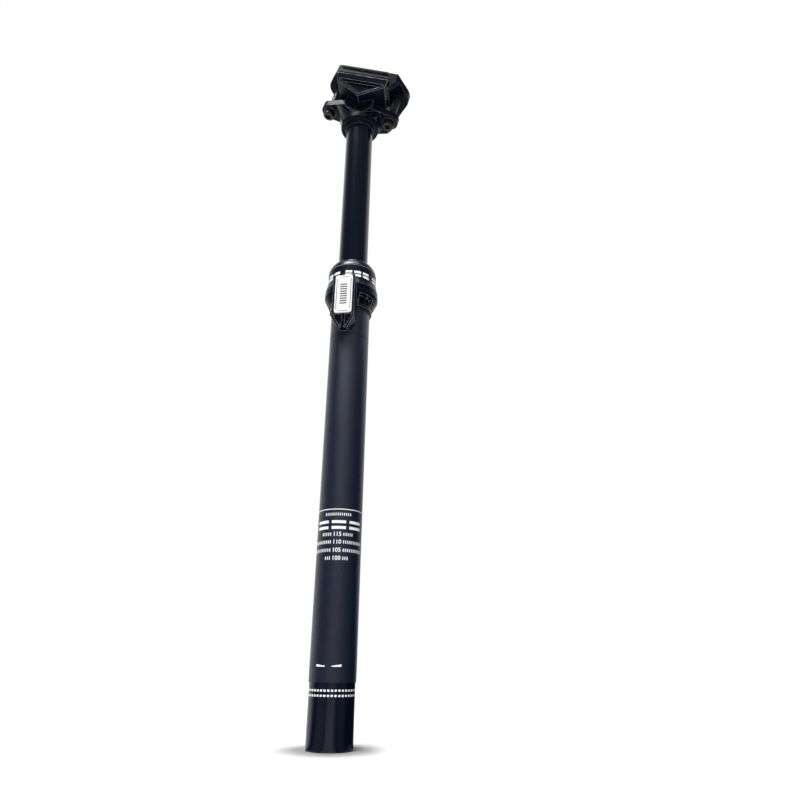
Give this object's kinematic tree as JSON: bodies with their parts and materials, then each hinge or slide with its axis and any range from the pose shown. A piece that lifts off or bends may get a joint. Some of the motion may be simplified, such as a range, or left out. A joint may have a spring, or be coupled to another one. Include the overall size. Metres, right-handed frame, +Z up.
{
  "type": "dropper seatpost",
  "caption": "Telescoping bicycle seatpost with a cable-pulled release in its collar, an air spring inside, and a tilting saddle-rail clamp held by barrel nuts and socket bolts.",
  "frame": {"origin": "centre of the flat underside of the bottom cap, on the post's axis", "axes": "+Z up the post to the saddle clamp, +X to the front of the bicycle, +Y to its left"},
  "size_m": [0.0745, 0.052, 0.5113],
  "materials": {
    "tube_black": "bead-blasted black anodised aluminium, satin",
    "cap_black": "polished black anodised aluminium",
    "stanchion_black": "glossy hard-anodised black aluminium",
    "head_black": "black anodised forged aluminium, satin",
    "clamp_black": "black anodised machined aluminium",
    "collar_black": "black anodised turned aluminium, semi-gloss",
    "inner_alloy": "machined aluminium",
    "badge_nickel": "bright brushed nickel plate",
    "black_steel": "black oxide steel",
    "bright_steel": "ground stainless steel",
    "chromed_rod": "hard chromed steel, polished",
    "key_brass": "turned brass",
    "guide_plastic": "filled acetal, matte",
    "clutch_plastic": "natural nylon, matte",
    "seal_rubber": "black nitrile rubber"
  },
  "bodies": {
    "lower_post": {"outer_tube": "tube_black", "bottom_cap": "cap_black", "cap_seal": "seal_rubber", "rod_anchor": "inner_alloy", "rocker_pin": "bright_steel", "damper_rod": "chromed_rod", "main_piston": "inner_alloy", "piston_seal": "seal_rubber", "topout_bumper": "seal_rubber", "actuator_housing": "collar_black", "lever_pin": "bright_steel", "collar_screw": "black_steel", "badge_plate": "badge_nickel", "collar_nut": "collar_black", "wiper_seal": "seal_rubber", "upper_bushing": "guide_plastic", "clutch_cage": "clutch_plastic", "clutch_rollers": "bright_steel", "valve_spring": "bright_steel"},
    "upper_post": {"stanchion": "stanchion_black", "saddle_head": "head_black", "seal_head": "inner_alloy", "rod_seal": "seal_rubber", "glide_ring": "guide_plastic", "alignment_keys": "key_brass", "top_plug": "inner_alloy", "valve_core": "key_brass", "valve_cap": "inner_alloy"},
    "cable_lever": {"actuator_lever": "bright_steel", "cable_clamp_screw": "bright_steel"},
    "wire": {"pull_wire": "bright_steel"},
    "rocker": {"bottom_rocker": "bright_steel"},
    "valve": {"valve_pin": "bright_steel"},
    "floating": {"floating_piston": "inner_alloy", "floating_seal": "seal_rubber"},
    "clamp": {"lower_cradle": "clamp_black", "upper_clamp": "clamp_black"},
    "front_nut": {"front_barrel_nut": "black_steel"},
    "rear_nut": {"rear_barrel_nut": "black_steel"},
    "front_seat": {"front_washer": "black_steel"},
    "rear_seat": {"rear_washer": "black_steel"},
    "front_screw": {"front_bolt": "black_steel"},
    "rear_screw": {"rear_bolt": "black_steel"}
  },
  "joints": [
    {"name": "post_travel", "type": "slide", "parent": "lower_post", "child": "upper_post", "axis": [0, 0, 1], "range_m": [-0.125, 0], "stiffness_N_per_m": 120, "springref_m": 0.3},
    {"name": "floating_slide", "type": "slide", "parent": "upper_post", "child": "floating", "axis": [0, 0, 1], "range_m": [0, 0.02525]},
    {"name": "lever_pull", "type": "hinge", "parent": "lower_post", "child": "cable_lever", "pos_m": [-0.00178, -0.01449, 0.2725], "axis": [0.9925, -0.1219, 0], "range_deg": [0, 36]},
    {"name": "wire_slide", "type": "slide", "parent": "lower_post", "child": "wire", "axis": [0, 0, 1], "range_m": [0, 0.00188]},
    {"name": "rocker_turn", "type": "hinge", "parent": "lower_post", "child": "rocker", "pos_m": [0.00079, 0.00645, 0.0465], "axis": [0.9925, -0.1219, 0], "range_deg": [-5.93, 0]},
    {"name": "valve_lift", "type": "slide", "parent": "lower_post", "child": "valve", "axis": [0, 0, 1], "range_m": [0, 0.000672], "stiffness_N_per_m": 800, "deforming": ["valve_spring"]},
    {"name": "clamp_tilt", "type": "hinge", "parent": "upper_post", "child": "clamp", "pos_m": [0, 0, 0.47], "axis": [0, 1, 0], "range_deg": [-6, 6]},
    {"name": "front_lean", "type": "hinge", "parent": "upper_post", "child": "front_seat", "pos_m": [0.02325, 0, 0.45632], "axis": [0, 1, 0], "range_deg": [-4.84, 4.84]},
    {"name": "front_nut_turn", "type": "hinge", "parent": "clamp", "child": "front_nut", "pos_m": [0.03288, 0, 0.49225], "axis": [0, 1, 0], "range_deg": [-1.16, 1.16]},
    {"name": "front_bolt_turn", "type": "hinge", "parent": "front_seat", "child": "front_screw", "pos_m": [0.02325, 0, 0.45632], "axis": [0.2588, 0, 0.9659], "range_deg": [-980.19, 980.19]},
    {"name": "rear_lean", "type": "hinge", "parent": "upper_post", "child": "rear_seat", "pos_m": [-0.02698, 0, 0.46977], "axis": [0, 1, 0], "range_deg": [-4.84, 4.84]},
    {"name": "rear_nut_turn", "type": "hinge", "parent": "clamp", "child": "rear_nut", "pos_m": [-0.01735, 0, 0.50571], "axis": [0, 1, 0], "range_deg": [-1.16, 1.16]},
    {"name": "rear_bolt_turn", "type": "hinge", "parent": "rear_seat", "child": "rear_screw", "pos_m": [-0.02698, 0, 0.46977], "axis": [0.2588, 0, 0.9659], "range_deg": [-980.19, 980.19]}
  ],
  "couplings": [
    {"joint": "floating_slide", "follows": "post_travel", "ratio": -0.20199},
    {"joint": "lever_pull", "follows": "valve_lift", "rad_per_m": 933.95},
    {"joint": "wire_slide", "follows": "valve_lift", "ratio": 2.8015},
    {"joint": "rocker_turn", "follows": "valve_lift", "rad_per_m": -153.93},
    {"joint": "front_lean", "follows": "clamp_tilt", "ratio": 0.80645},
    {"joint": "front_nut_turn", "follows": "clamp_tilt", "ratio": -0.19355},
    {"joint": "front_bolt_turn", "follows": "clamp_tilt", "ratio": 163.36},
    {"joint": "rear_lean", "follows": "clamp_tilt", "ratio": 0.80645},
    {"joint": "rear_nut_turn", "follows": "clamp_tilt", "ratio": -0.19355},
    {"joint": "rear_bolt_turn", "follows": "clamp_tilt", "ratio": -163.36}
  ]
}
